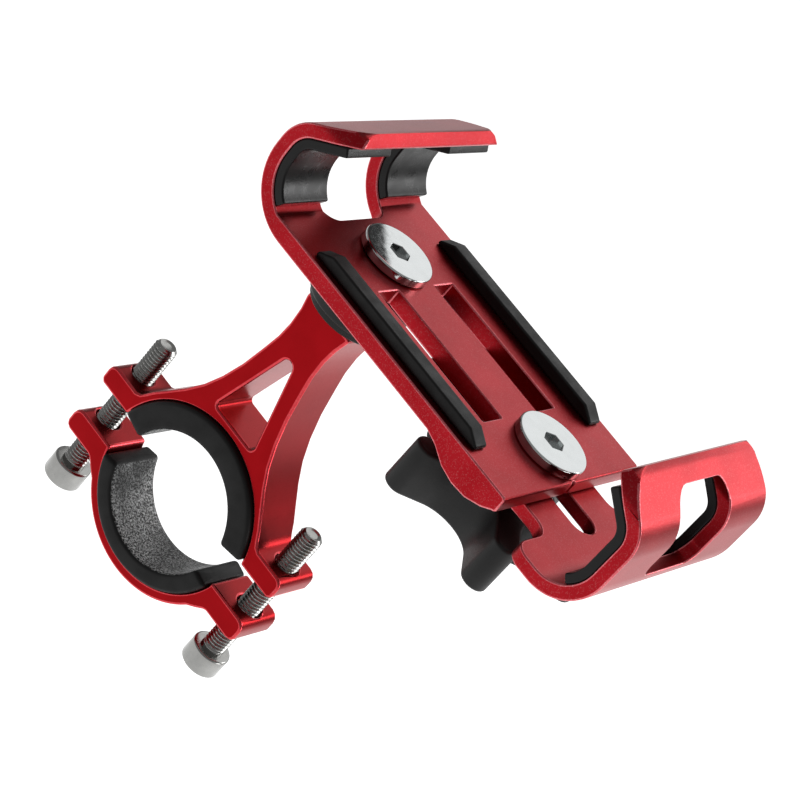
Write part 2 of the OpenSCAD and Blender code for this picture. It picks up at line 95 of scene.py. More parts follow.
class Graph:
    """A material's node tree with a Principled shader at its end."""

    def __init__(self, name: str) -> None:
        """Start an empty material.

        Args:
            name: the material's name.
        """
        self.material = bpy.data.materials.new(name)
        self.material.use_nodes = True
        self.tree = self.material.node_tree
        self.tree.nodes.clear()
        output = self.tree.nodes.new("ShaderNodeOutputMaterial")
        self.shader = self.tree.nodes.new("ShaderNodeBsdfPrincipled")
        self.tree.links.new(self.shader.outputs["BSDF"], output.inputs["Surface"])
        self.place = self.tree.nodes.new("ShaderNodeTexCoord").outputs["Object"]

    def node(self, kind: str, inputs: dict | None = None,
             **settings: object) -> bpy.types.Node:
        """Add a node.

        Args:
            kind: the node's type name.
            inputs: values or output sockets by input name or number.
            settings: properties set on the node itself.

        Returns:
            The new node.
        """
        made = self.tree.nodes.new(kind)
        for key, value in settings.items():
            setattr(made, key, value)
        for key, value in (inputs or {}).items():
            if isinstance(value, Socket):
                self.tree.links.new(value, made.inputs[key])
            else:
                made.inputs[key].default_value = value
        return made

    def noise(self, per_mm: float, detail: float = 2.0, rough: float = 0.5,
              stretch: Triple = (1.0, 1.0, 1.0)) -> Socket:
        """Noise in the piece's own space.

        Args:
            per_mm: cells per millimetre.
            detail: octaves.
            rough: weight of the finer octaves.
            stretch: factors on the three axes.

        Returns:
            The factor socket, from 0 to 1.
        """
        where = self.node("ShaderNodeMapping", {"Vector": self.place, "Scale": stretch})
        made = self.node("ShaderNodeTexNoise", {
            "Vector": where.outputs["Vector"], "Scale": per_mm / MM, "Detail": detail,
            "Roughness": rough})
        return made.outputs["Fac"]

    def glint_cells(self, per_mm: float) -> Socket:
        """Random level for each cell of a three-dimensional Voronoi pattern.

        Args:
            per_mm: cells per millimetre.

        Returns:
            The level's socket, from 0 to 1.
        """
        cells = self.node("ShaderNodeTexVoronoi", {"Vector": self.place, "Scale": per_mm / MM})
        split = self.node("ShaderNodeSeparateColor", {"Color": cells.outputs["Color"]})
        return split.outputs["Red"]

    def ramp(self, factor: Socket, low: float, high: float, at_low: float = 0.0,
             at_high: float = 1.0) -> Socket:
        """Map a factor from low..high to at_low..at_high, held beyond the ends.

        Args:
            factor: the socket to map.
            low, high: where the slope starts and ends.
            at_low, at_high: what it gives there.

        Returns:
            The mapped socket.
        """
        made = self.node("ShaderNodeMapRange", {
            "Value": factor, "From Min": low, "From Max": high, "To Min": at_low,
            "To Max": at_high})
        return made.outputs["Result"]

    def mix(self, factor: Socket, first: Colour | Socket, second: Colour | Socket) -> Socket:
        """Blend two colours.

        Args:
            factor: 0 gives the first, 1 the second.
            first: a colour or a colour socket.
            second: a colour or a colour socket.

        Returns:
            The colour socket.
        """
        ends = [c if isinstance(c, Socket) else (*c, 1.0) for c in (first, second)]
        made = self.node("ShaderNodeMix", {0: factor, 6: ends[0], 7: ends[1]},
                         data_type="RGBA")
        return made.outputs[2]

    def math(self, operation: str, a: float | Socket, b: float | Socket = 0.0) -> Socket:
        """One step of arithmetic.

        Args:
            operation: the Math node's operation.
            a: the first value or socket.
            b: the second one; a step on one value leaves it alone.

        Returns:
            The result's socket.
        """
        made = self.node("ShaderNodeMath", {0: a, 1: b}, operation=operation)
        return made.outputs["Value"]

    def bump(self, height: Socket, depth_mm: float, under: Socket | None = None) -> Socket:
        """Bump of a given depth.

        Args:
            height: the factor whose 0 is low and 1 is high.
            depth_mm: distance from low to high.
            under: another bump's normal, if this one lies over it.

        Returns:
            The normal's socket.
        """
        inputs = {"Height": height, "Strength": 1.0, "Distance": depth_mm * MM}
        if under is not None:
            inputs["Normal"] = under
        return self.node("ShaderNodeBump", inputs).outputs["Normal"]

    def finish(self, **values: float | Colour | Socket) -> bpy.types.Material:
        """Set the shader's inputs.

        Args:
            values: values or sockets by input name, with underscores for spaces.

        Returns:
            The material.
        """
        for key, value in values.items():
            socket = self.shader.inputs[key.replace("_", " ")]
            if isinstance(value, Socket):
                self.tree.links.new(value, socket)
            else:
                socket.default_value = (*value, 1.0) if isinstance(value, tuple) else value
        self.material.diffuse_color = (0.5, 0.5, 0.5, 1.0)
        return self.material


@dataclass(frozen=True)
class Anodised:
    """Red anodised aluminium: satin when grain is fine and shallow, blasted when coarse."""

    name: str
    deep: Colour
    light: Colour
    roughness: float
    grain_per_mm: float
    grain_depth_mm: float
    # How pale the painted glints of single grain cells are.
    painted_glint: float
    coat: float

    def build(self) -> bpy.types.Material:
        """Cloudy dye, single pale cells as painted glints, and a blasted bump.

        Returns:
            The material.
        """
        g = Graph(self.name)
        cloud = g.ramp(g.noise(0.12, 3.0), 0.3, 0.7)
        dye = g.mix(cloud, self.deep, self.light)
        # A few cells of the grain turned pale: painted glints.
        glint_cells = g.ramp(g.glint_cells(self.grain_per_mm), 0.80, 0.99, 0.0, self.painted_glint)
        glint_colour = tuple(min(1.0, 0.55 + 0.5 * c) for c in self.light)
        colour = g.mix(glint_cells, dye, glint_colour)
        fine = g.noise(self.grain_per_mm, 3.0, 0.6)
        broad = g.bump(g.noise(0.5, 2.0), 0.004)
        rough = g.ramp(fine, 0.3, 0.7, self.roughness - 0.06, self.roughness + 0.06)
        return g.finish(Base_Color=colour, Metallic=1.0, Roughness=rough,
                        Normal=g.bump(fine, self.grain_depth_mm, broad),
                        Coat_Weight=self.coat, Coat_Roughness=0.28)


@dataclass(frozen=True)
class Rubber:
    """Black moulded rubber, with grey worn bloom and painted sheen where a bar of given radius
    touches it.
    """

    name: str
    base: float
    roughness: float
    bloom_and_sheen_r_mm: float = 0.0

    def build(self) -> bpy.types.Material:
        """Matt black with fine pits; grey speckle inside a cylinder along X, worn bloom and
        painted sheen.

        Returns:
            The material.
        """
        g = Graph(self.name)
        fine = g.noise(5.0, 3.0, 0.7)
        level = g.ramp(fine, 0.3, 0.7)
        dark = (self.base * 0.7,) * 3
        light = (self.base * 1.6,) * 3
        colour = g.mix(level, dark, light)
        rough = g.ramp(g.noise(0.3, 2.0), 0.35, 0.65, self.roughness - 0.06,
                       self.roughness + 0.08)
        # Grey speckle within the bar's radius: partly worn bloom, partly painted sheen.
        if self.bloom_and_sheen_r_mm:
            axes = g.node("ShaderNodeSeparateXYZ", {"Vector": g.place})
            y2 = g.math("POWER", axes.outputs["Y"], 2.0)
            z2 = g.math("POWER", axes.outputs["Z"], 2.0)
            radius = g.math("SQRT", g.math("ADD", y2, z2))
            inside = g.ramp(radius, (self.bloom_and_sheen_r_mm + 0.25) * MM,
                            (self.bloom_and_sheen_r_mm + 0.05) * MM)
            speckle = g.ramp(g.noise(2.6, 4.0, 0.75), 0.45, 0.62)
            patch = g.ramp(g.noise(0.11, 2.0), 0.35, 0.6, 0.25, 1.0)
            bloom_and_sheen = g.math("MULTIPLY", inside, g.math("MULTIPLY", speckle, patch))
            colour = g.mix(bloom_and_sheen, colour, BLOOM_AND_SHEEN_GREY)
        return g.finish(Base_Color=colour, Roughness=rough,
                        Normal=g.bump(fine, 0.02), Specular_IOR_Level=0.22)


@dataclass(frozen=True)
class Plated:
    """Bright metal: polished chrome, zinc plate or turned brass."""

    name: str
    colour: Colour
    roughness: float
    stain: float
    scratch_depth_mm: float

    def build(self) -> bpy.types.Material:
        """Light stains in the plate over hair scratches.

        Returns:
            The material.
        """
        g = Graph(self.name)
        cloud = g.ramp(g.noise(0.35, 4.0, 0.6), 0.4, 0.7, 0.0, self.stain)
        dull = tuple(0.72 * c for c in self.colour)
        hair = g.noise(3.0, 2.0, 0.6, (1.0, 0.08, 1.0))
        rough = g.ramp(g.noise(0.8, 3.0), 0.35, 0.7, self.roughness * 0.7,
                       self.roughness * 1.5)
        return g.finish(Base_Color=g.mix(cloud, self.colour, dull), Metallic=1.0,
                        Roughness=rough, Normal=g.bump(hair, self.scratch_depth_mm))


@dataclass(frozen=True)
class Moulded:
    """Black moulded nylon with a fine spark-eroded grain."""

    name: str
    base: float
    roughness: float

    def build(self) -> bpy.types.Material:
        """Two scales of grain, and slightly paler handling marks.

        Returns:
            The material.
        """
        g = Graph(self.name)
        fine = g.noise(4.0, 3.0, 0.65)
        marks = g.ramp(g.noise(0.25, 3.0), 0.45, 0.75)
        colour = g.mix(marks, (self.base,) * 3, (self.base * 1.7,) * 3)
        rough = g.ramp(fine, 0.3, 0.7, self.roughness - 0.05, self.roughness + 0.09)
        return g.finish(Base_Color=colour, Roughness=rough, Normal=g.bump(fine, 0.02),
                        Specular_IOR_Level=0.3)


class Finish(Enum):
    """The finishes of the mount's pieces."""

    SATIN = Anodised("red_satin", deep=(0.25, 0.002, 0.004), light=(0.30, 0.003, 0.006),
                     roughness=0.32, grain_per_mm=6.0, grain_depth_mm=0.003, painted_glint=0.0,
                     coat=0.04)
    # Lighter, glossier copy of the satin red for the rounded edges: a painted highlight.
    SATIN_EDGE_HIGHLIGHT = Anodised("red_satin_edge_highlight", deep=(0.50, 0.03, 0.04), light=(0.60, 0.05, 0.06),
                          roughness=0.24, grain_per_mm=6.0, grain_depth_mm=0.002, painted_glint=0.1,
                          coat=0.1)
    BLASTED = Anodised("red_blasted", deep=(0.31, 0.006, 0.011), light=(0.38, 0.010, 0.017),
                       roughness=0.36, grain_per_mm=6.5, grain_depth_mm=0.008, painted_glint=0.07,
                       coat=0.05)
    # Paler, pinker copy of the blasted red for the rounded edges: a painted highlight, with more
    # painted glints.
    BLASTED_EDGE_HIGHLIGHT = Anodised("red_blasted_edge_highlight", deep=(0.52, 0.07, 0.085),
                            light=(0.66, 0.13, 0.15), roughness=0.32, grain_per_mm=6.5,
                            grain_depth_mm=0.008, painted_glint=0.3, coat=0.3)
    RUBBER = Rubber("black_rubber", base=0.005, roughness=0.45)
    # The clamp pads' inner faces get the grey speckle: worn bloom and painted sheen.
    PAD = Rubber("pad_rubber", base=0.003, roughness=0.5, bloom_and_sheen_r_mm=14.3)
    LINING = Rubber("lining_rubber", base=0.003, roughness=0.30)
    CHROME = Plated("chrome", colour=(0.54, 0.56, 0.56), roughness=0.10, stain=0.15,
                    scratch_depth_mm=0.0006)
    ZINC = Plated("zinc_plate", colour=(0.32, 0.32, 0.31), roughness=0.2, stain=0.5,
                  scratch_depth_mm=0.002)
    BRASS = Plated("brass", colour=(0.60, 0.42, 0.18), roughness=0.24, stain=0.6,
                   scratch_depth_mm=0.003)
    PLASTIC = Moulded("black_plastic", base=0.005, roughness=0.46)


_BUILT: dict[Finish, bpy.types.Material] = {}


def finish_of(finish: Finish) -> bpy.types.Material:
    """The material of a finish, built once.

    Args:
        finish: the finish.

    Returns:
        Its material.
    """
    if finish not in _BUILT:
        _BUILT[finish] = finish.value.build()
    return _BUILT[finish]


# --------------------------------------------------------------------------- surfaces


def circle_angles(count: int) -> np.ndarray:
    """Evenly spaced angles round a full turn: n times a full turn over count."""
    return np.arange(count) * (2.0 * math.pi / count)


def ring_quads(count: int, around: int, looped: bool) -> list[list[int]]:
    """Faces between neighbouring rings, whose points are numbered ring after ring.

    Each face joins points j and j + 1 of a ring to the same points of the next one.

    Args:
        count: number of rings.
        around: points on each ring.
        looped: true when the last ring also joins the first.

    Returns:
        The faces, as four point numbers each.
    """
    i, j = np.meshgrid(np.arange(count if looped else count - 1), np.arange(around),
                       indexing="ij")
    k = (j + 1) % around
    n = (i + 1) % count
    quads = np.stack([i * around + j, i * around + k, n * around + k, n * around + j], axis=-1)
    return quads.reshape(-1, 4).tolist()


def grid_object(name: str, rings: np.ndarray) -> bpy.types.Object:
    """Object from closed rings joined in order, with a fan round a pole at each end.

    Args:
        name: the object's name.
        rings: array of ring, point, xyz; each ring runs the same way round.

    Returns:
        The object, at the origin, with its faces outward.
    """
    count, around = rings.shape[:2]
    low = rings[0].mean(axis=0)
    high = rings[-1].mean(axis=0)
    points = np.concatenate([rings.reshape(-1, 3), [low, high]])
    j = np.arange(around)
    k = (j + 1) % around
    last = (count - 1) * around
    start = np.stack([k, j, np.full(around, count * around)], axis=-1)
    end = np.stack([last + j, last + k, np.full(around, count * around + 1)], axis=-1)
    mesh = bpy.data.meshes.new(name)
    faces = ring_quads(count, around, False) + start.tolist() + end.tolist()
    mesh.from_pydata(points.tolist(), [], faces)
    return link_mesh(name, mesh)


def loop_object(name: str, rings: np.ndarray) -> bpy.types.Object:
    """Object from closed rings joined in order and back to the first, round a bore.

    Args:
        name: the object's name.
        rings: array of ring, point, xyz; each ring runs the same way round.

    Returns:
        The object, at the origin, with its faces outward.
    """
    mesh = bpy.data.meshes.new(name)
    mesh.from_pydata(rings.reshape(-1, 3).tolist(), [], ring_quads(*rings.shape[:2], True))
    return link_mesh(name, mesh)


def link_mesh(name: str, mesh: bpy.types.Mesh, sharp_deg: float = 38.0) -> bpy.types.Object:
    """Turn faces outward, shade smooth up to an angle, and link a new object.

    Args:
        name: the object's name.
        mesh: its mesh.
        sharp_deg: edges bent by more than this stay sharp.

    Returns:
        The object.
    """
    work = bmesh.new()
    work.from_mesh(mesh)
    bmesh.ops.remove_doubles(work, verts=work.verts, dist=1e-7)
    bmesh.ops.recalc_face_normals(work, faces=work.faces)
    work.to_mesh(mesh)
    work.free()
    mesh.shade_smooth()
    mesh.set_sharp_from_angle(angle=math.radians(sharp_deg))
    made = bpy.data.objects.new(name, mesh)
    bpy.context.scene.collection.objects.link(made)
    return made


@dataclass(frozen=True)
class Ring:
    """One ring of a turned part: a circle of radius r_mm, or a hexagon r_mm from axis to flat."""

    r_mm: float
    z_mm: float
    hexagon: bool = False

    def points(self, angles: np.ndarray) -> np.ndarray:
        """Points about the Z axis; a hexagon's radius is r over the cosine from its flat.

        Args:
            angles: polar angles of the points.

        Returns:
            Array of point, xyz, in millimetres.
        """
        radius = np.full_like(angles, self.r_mm)
        if self.hexagon:
            sixth = math.pi / 3.0
            radius = self.r_mm / np.cos((angles + sixth / 2.0) % sixth - sixth / 2.0)
        return np.stack([radius * np.cos(angles), radius * np.sin(angles),
                         np.full_like(angles, self.z_mm)], axis=-1)


def quarter(r0: float, z0: float, r1: float, z1: float, out: bool, steps: int = 5) -> list[Ring]:
    """Rings along a quarter ellipse from (r0, z0) to (r1, z1).

    Args:
        r0, z0: where it starts.
        r1, z1: where it ends.
        out: true when it leaves the start radially, false when it leaves along the axis.
        steps: number of chords.

    Returns:
        The rings, ends included.
    """
    rings = []
    for n in range(steps + 1):
        a = math.pi / 2.0 * n / steps
        along = (math.sin(a), 1.0 - math.cos(a)) if out else (1.0 - math.cos(a), math.sin(a))
        rings.append(Ring(r0 + (r1 - r0) * along[0], z0 + (z1 - z0) * along[1]))
    return rings


def turned(name: str, rings: list[Ring], centre_y_mm: float = 0.0,
           around: int = 96) -> bpy.types.Object:
    """Turned part about a vertical axis, closed by poles.

    Args:
        name: the object's name.
        rings: its rings, from one pole to the other.
        centre_y_mm: where its axis stands.
        around: points on each ring.

    Returns:
        The object.
    """
    angles = circle_angles(around)
    stack = np.stack([ring.points(angles) for ring in rings])
    stack[..., 1] += centre_y_mm
    return grid_object(name, stack * MM)


def offset_inward(outline: np.ndarray, distance: float) -> np.ndarray:
    """Move each point of an outline inward along its mitre.

    The mitre is the sum of the two sides' inward unit normals over 1 plus their product.

    Args:
        outline: closed counter-clockwise outline, point by two.
        distance: how far each side moves.

    Returns:
        The new outline.
    """
    before = outline - np.roll(outline, 1, axis=0)
    after = np.roll(outline, -1, axis=0) - outline
    n0 = np.stack([-before[:, 1], before[:, 0]], axis=-1)
    n1 = np.stack([-after[:, 1], after[:, 0]], axis=-1)
    n0 /= np.linalg.norm(n0, axis=1, keepdims=True)
    n1 /= np.linalg.norm(n1, axis=1, keepdims=True)
    mitre = n0 + n1
    sharpest = 0.3
    mitre /= np.maximum(1.0 + (n0 * n1).sum(axis=1, keepdims=True), sharpest)
    return outline + distance * mitre


def arc(cx: float, cy: float, r: float, a0_deg: float, a1_deg: float, steps: int) -> np.ndarray:
    """Points of an arc.

    Args:
        cx, cy: its centre.
        r: its radius.
        a0_deg, a1_deg: angles of its ends, both included.
        steps: number of chords.

    Returns:
        Array of point by two.
    """
    a = np.radians(np.linspace(a0_deg, a1_deg, steps + 1))
    return np.stack([cx + r * np.cos(a), cy + r * np.sin(a)], axis=-1)


def slab_rings(outline: np.ndarray, low: float, high: float, edge: float,
               steps: int = 4) -> np.ndarray:
    """Rings of a slab with both rims rounded to a quarter circle.

    Args:
        outline: closed counter-clockwise outline, point by two.
        low, high: where the slab starts and ends on its third axis.
        edge: radius of the rounded rims.
        steps: chords on each rim.

    Returns:
        Array of ring, point, (first, second, third axis).
    """
    turn = np.linspace(0.0, math.pi / 2.0, steps + 1)
    inset = edge * (1.0 - np.sin(turn))
    lift = edge * (1.0 - np.cos(turn))
    levels = [(d, low + h) for d, h in zip(inset, lift)]
    levels += [(d, high - h) for d, h in zip(inset[::-1], lift[::-1])]
    return np.stack([np.column_stack([offset_inward(outline, d), np.full(len(outline), z)])
                     for d, z in levels])


def softened(node: str, edge_mm: float, segments: int = 3,
             least_deg: float = 32.0, spare_mm: float = 0.0) -> bpy.types.Object:
    """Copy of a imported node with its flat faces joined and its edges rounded.

    Args:
        node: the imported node.
        edge_mm: width of the rounding.
        segments: steps across it.
        least_deg: edges bent by less than this aren't rounded.
        spare_mm: edges no further than this below the piece's top stay sharp.

    Returns:
        The copy, with live Bevel and Weighted Normal modifiers; bevelled faces take slot 1.
    """
    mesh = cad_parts[node].data.copy()
    mesh.materials.clear()
    work = bmesh.new()
    work.from_mesh(mesh)
    bmesh.ops.remove_doubles(work, verts=work.verts, dist=WELD_M)
    bmesh.ops.dissolve_limit(work, angle_limit=math.radians(FLAT_DEG), verts=work.verts,
                             edges=work.edges)
    top = max(vertex.co.z for vertex in work.verts) - spare_mm * MM
    weights = work.edges.layers.float.new("bevel_weight_edge")
    for edge in work.edges:
        sharp = edge.calc_face_angle(0.0) > math.radians(least_deg)
        spared = spare_mm > 0.0 and sum(v.co.z for v in edge.verts) / 2.0 > top
        edge[weights] = float(sharp and not spared)
    work.to_mesh(mesh)
    work.free()
    mesh.name = node + "_finished"
    mesh.shade_smooth()
    made = bpy.data.objects.new(node + "_finished", mesh)
    bpy.context.scene.collection.objects.link(made)
    bevel = made.modifiers.new("edges", "BEVEL")
    bevel.width = edge_mm * MM
    bevel.segments = segments
    bevel.limit_method = "WEIGHT"
    bevel.miter_outer = "MITER_ARC"
    bevel.material = 1
    bevel.use_clamp_overlap = False
    normals = made.modifiers.new("normals", "WEIGHTED_NORMAL")
    normals.weight = 60
    normals.keep_sharp = False
    return made


def fit_out(piece: bpy.types.Object, body: Body, finish: Finish, node: str,
            edge_highlight_finish: Finish | None = None) -> None:
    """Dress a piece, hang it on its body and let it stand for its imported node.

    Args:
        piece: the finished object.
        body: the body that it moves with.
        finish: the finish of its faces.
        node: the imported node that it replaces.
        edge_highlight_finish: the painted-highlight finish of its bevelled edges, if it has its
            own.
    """
    piece.data.materials.append(finish_of(finish))
    # Slot 1 holds the bevelled faces: a lighter red there is a painted highlight.
    piece.data.materials.append(finish_of(edge_highlight_finish or finish))
    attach(piece, body.value)
    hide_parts(node)
    LOG.info("%s: %d faces, rides on %s", piece.name, len(piece.data.polygons), body.value)


def fit_rubber(nodes: tuple[str, ...], edge_mm: float, body: Body, finish: Finish) -> None:
    """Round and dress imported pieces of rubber.

    Args:
        nodes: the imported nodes.
        edge_mm: width of the rounding.
        body: the body that they move with.
        finish: their finish.
    """
    for node in nodes:
        fit_out(softened(node, edge_mm), body, finish, node)


# --------------------------------------------------------------------------- sub-assemblies


@dataclass
class HandlebarClamp:
    """Upper clamp with its arm, lower clamp, and the two rubber pads."""

    edge_mm: float = 0.55
    bar_r_mm: float = 14.3
    pad_edge_mm: float = 0.9
    pad_slope: float = 0.2
    pad_end_mm: tuple[float, float] = (4.8, 5.2)
    pad_corner_steps: int = 5
    pad_arc_steps: int = 60
    halves: tuple[str, ...] = ("upper_clamp_arm", "lower_clamp")
    pads: tuple[str, ...] = ("upper_clamp_pad", "lower_clamp_pad")

    def build_pad(self, node: str, end_mm: float) -> bpy.types.Object:
        """Carry a round-cornered rectangle along the arc of the seat.

        The angle of each point runs from the one where its radius meets the sloped end to
        the same angle from the other side.  That angle's sine is the end's height there over
        the radius, found by a few rounds of substitution.  Towards the ends the rectangle
        shrinks along a quarter circle.

        Args:
            node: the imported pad.
            end_mm: height of its outer end from the split.

        Returns:
            The pad.
        """
        low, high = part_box(node)
        upper = high.z > 0.0
        seat = (high.z if upper else -low.z) / MM
        half, c = high.x / MM, self.pad_edge_mm
        inner = self.bar_r_mm
        steps = self.pad_corner_steps
        profile = np.concatenate([arc(inner + c, half - c, c, 90.0, 180.0, steps),
                                  arc(inner + c, c - half, c, 180.0, 270.0, steps),
                                  arc(seat - c, c - half, c, 270.0, 360.0, steps),
                                  arc(seat - c, half - c, c, 0.0, 90.0, steps)])
        turn = np.linspace(0.0, math.pi / 2.0, steps + 1)
        levels = [(c * (1.0 - math.sin(t)), c * (1.0 - math.cos(t))) for t in turn]
        first_guess, rounds = 0.3, 8
        rings = []
        for inset, advance in levels:
            ring = offset_inward(profile, inset)
            r, x = ring[:, 0], ring[:, 1]
            angle = np.full_like(r, first_guess)
            for _ in range(rounds):
                angle = np.arcsin((end_mm + self.pad_slope * (r * np.cos(angle) - seat)) / r)
            rings.append((r, x, angle + advance / r))
        r, x, first = rings[-1]
        middle = [(r, x, first + (math.pi - 2.0 * first) * t)
                  for t in np.linspace(0.0, 1.0, self.pad_arc_steps + 1)[1:-1]]
        rings += middle + [(r, x, math.pi - a) for r, x, a in rings[::-1]]
        side = 1.0 if upper else -1.0
        stack = np.stack([np.stack([x, r * np.cos(a), side * r * np.sin(a)], axis=-1)
                          for r, x, a in rings])
        return grid_object(node + "_moulded", stack * MM)

    def build(self) -> None:
        """Make and dress the clamp halves and their pads."""
        bodies = (Body.ARM, Body.LOWER_CLAMP)
        for node, body in zip(self.halves, bodies):
            # The rounded edges take a lighter red: a painted highlight.
            fit_out(softened(node, self.edge_mm), body, Finish.SATIN, node,
                    Finish.SATIN_EDGE_HIGHLIGHT)
        for node, end_mm, body in zip(self.pads, self.pad_end_mm, bodies):
            fit_out(self.build_pad(node, end_mm), body, Finish.PAD, node)


@dataclass
class ClampScrew:
    """Socket cap screw, head down, with a rolled metric thread."""

    node: str
    body: Body
    pitch_mm: float = 0.8
    crest_r_mm: float = 2.5
    thread_depth_mm: float = 0.42
    flank_gain: float = 1.35
    crest_flat: float = 0.1
    plain_pitches: float = 0.6
    tip_fade_mm: float = 0.5
    first_row_mm: float = 0.05
    head_h_mm: float = 5.0
    neck_round_mm: float = 0.5
    rim_round_mm: tuple[float, float] = (0.7, 0.45)
    chamfer_mm: float = 0.7
    tip_dimple_mm: tuple = ((0.9, 0.25), (1.3, 0.2), (1.55, 0.03))
    socket_flats_mm: float = 4.0
    socket_depth_mm: float = 2.6
    socket_lead_mm: tuple[float, float] = (0.12, 0.16)
    socket_rim: float = 1.2
    socket_cone: float = 0.4
    socket_cone_mm: float = 0.35
    around: int = 48
    rows_per_turn: int = 12

    def build(self) -> None:
        """Make the screw as one closed surface.

        The thread is a grid of height and angle: at each point the radius is the crest
        radius less the depth times a triangle wave of height / pitch - angle / full turn,
        cut flat at its crest and root.  It fades out at both ends, and a 45 degree chamfer
        cuts the tip.
        """
        low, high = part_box(self.node)
        cap_r = (high.x - low.x) / 2.0 / MM
        centre_y = (low.y + high.y) / 2.0 / MM
        base, tip = low.z / MM, high.z / MM
        under = base + self.head_h_mm
        crest = self.crest_r_mm
        angles = circle_angles(self.around)
        rows = int((tip - under) / self.pitch_mm * self.rows_per_turn)
        height = np.linspace(tip - self.first_row_mm, under, rows)[:, None]
        phase = (height / self.pitch_mm - angles[None, :] / (2.0 * math.pi)) % 1.0
        wave = self.flank_gain * (1.0 - np.abs(2.0 * phase - 1.0)) - self.crest_flat
        wave = np.clip(wave, 0.0, 1.0)
        fade = np.clip(np.minimum((height - under) / self.pitch_mm - self.plain_pitches,
                                  (tip - height) / self.tip_fade_mm), 0.0, 1.0)
        radius = crest - self.thread_depth_mm * wave * fade
        radius = np.minimum(radius, crest - self.chamfer_mm + (tip - height))
        thread = np.stack([radius * np.cos(angles), radius * np.sin(angles),
                           np.broadcast_to(height, radius.shape)], axis=-1)
        face = [*(Ring(r, tip - depth) for r, depth in self.tip_dimple_mm),
                Ring(crest - self.chamfer_mm, tip)]
        half = self.socket_flats_mm / 2.0
        floor = base + self.socket_depth_mm
        neck = self.neck_round_mm
        rim_r, rim_z = self.rim_round_mm
        lead_r, lead_z = self.socket_lead_mm
        head = [Ring(crest, under), *quarter(cap_r - neck, under, cap_r, under - neck, True),
                *quarter(cap_r, base + rim_z, cap_r - rim_r, base, False),
                Ring(half * self.socket_rim, base), Ring(half + lead_r, base + 0.02, True),
                Ring(half, base + lead_z, True), Ring(half, floor, True),
                Ring(half * self.socket_cone, floor + self.socket_cone_mm)]
        stack = np.concatenate([np.stack([r.points(angles) for r in face]), thread,
                                np.stack([r.points(angles) for r in head])])
        stack[..., 1] += centre_y
        piece = grid_object(self.node + "_threaded", stack * MM)
        fit_out(piece, self.body, Finish.ZINC, self.node)


@dataclass
class FlatScrew:
    """Screw with a wide flat polished head and a hexagon socket."""

    node: str
    body: Body
    shank_r_mm: float
    tip_chamfer_mm: float = 0.4
    head_h_mm: float = 2.0
    under_chamfer_mm: float = 0.25
    rim_mm: float = 0.35
    face_margin_mm: float = 0.9
    socket_flats_mm: float = 4.0
    socket_depth_mm: float = 1.45
    socket_lead_mm: float = 0.1
    socket_rim: float = 1.35
    socket_floor: float = 0.4
    around: int = 120

    def build(self) -> None:
        """Turn the shank, the head with its rounded rim, and the socket."""
        low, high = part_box(self.node)
        head_r = (high.x - low.x) / 2.0 / MM
        centre_y = (low.y + high.y) / 2.0 / MM
        top, end = high.z / MM, low.z / MM
        seat = top - self.head_h_mm
        half = self.socket_flats_mm / 2.0
        shank, tip, under = self.shank_r_mm, self.tip_chamfer_mm, self.under_chamfer_mm
        lead = self.socket_lead_mm
        rings = [Ring(shank - tip, end), Ring(shank, end + tip), Ring(shank, seat),
                 Ring(head_r - under, seat), Ring(head_r, seat + under),
                 *quarter(head_r, top - self.rim_mm, head_r - self.rim_mm, top, False),
                 Ring(head_r - self.face_margin_mm, top), Ring(half * self.socket_rim, top),
                 Ring(half + lead, top - 0.01, True), Ring(half, top - lead, True),
                 Ring(half, top - self.socket_depth_mm, True),
                 Ring(half * self.socket_floor, top - self.socket_depth_mm)]
        piece = turned(self.node + "_turned", rings, centre_y, self.around)
        fit_out(piece, self.body, Finish.CHROME, self.node)


@dataclass
class SwivelDisc:
    """Black disc between the arm and the plate."""

    node: str = "swivel_disc"
    bore_r_mm: float = 3.1
    foot_r_mm: float = 8.8
    foot_h_mm: float = 1.7
    foot_chamfer_mm: float = 0.4
    round_mm: float = 0.7
    around: int = 96

    def build(self) -> None:
        """Turn the disc with rounded rims and a recessed foot."""
        low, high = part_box(self.node)
        r = (high.x - low.x) / 2.0 / MM
        z0, z1 = low.z / MM, high.z / MM
        step = z0 + self.foot_h_mm
        c, chamfer = self.round_mm, self.foot_chamfer_mm
        rings = [Ring(self.bore_r_mm, z1), Ring(self.bore_r_mm, z0),
                 Ring(self.foot_r_mm - chamfer, z0), Ring(self.foot_r_mm, z0 + chamfer),
                 Ring(self.foot_r_mm, step), *quarter(r - c, step, r, step + c, True),
                 *quarter(r, z1 - c, r - c, z1, False)]
        angles = circle_angles(self.around)
        stack = np.stack([ring.points(angles) for ring in rings])
        fit_out(loop_object(self.node + "_turned", stack * MM), Body.ARM,
                Finish.PLASTIC, self.node)


@dataclass
class Holder:
    """Plate with the fixed hook, its rubber strips and linings."""

    node: str = "holder_plate"
    sheet_edge_mm: float = 0.35
    rim_least_deg: float = 52.0
    lip_spare_mm: float = 1.2
    strip_edge_mm: float = 0.45
    lining_edge_mm: float = 0.4
    strips: tuple[str, ...] = ("rest_strip_left", "rest_strip_right")
    linings: tuple[str, ...] = ("hook_pad_left", "hook_pad_right")

    def build(self) -> None:
        """Make and dress the plate and its rubber."""
        plate = softened(self.node, self.sheet_edge_mm, least_deg=self.rim_least_deg,
                         spare_mm=self.lip_spare_mm)
        # The rounded edges take a paler red: a painted highlight.
        fit_out(plate, Body.HOLDER, Finish.BLASTED, self.node,
                Finish.BLASTED_EDGE_HIGHLIGHT)
        fit_rubber(self.strips, self.strip_edge_mm, Body.HOLDER, Finish.RUBBER)
        fit_rubber(self.linings, self.lining_edge_mm, Body.HOLDER, Finish.LINING)


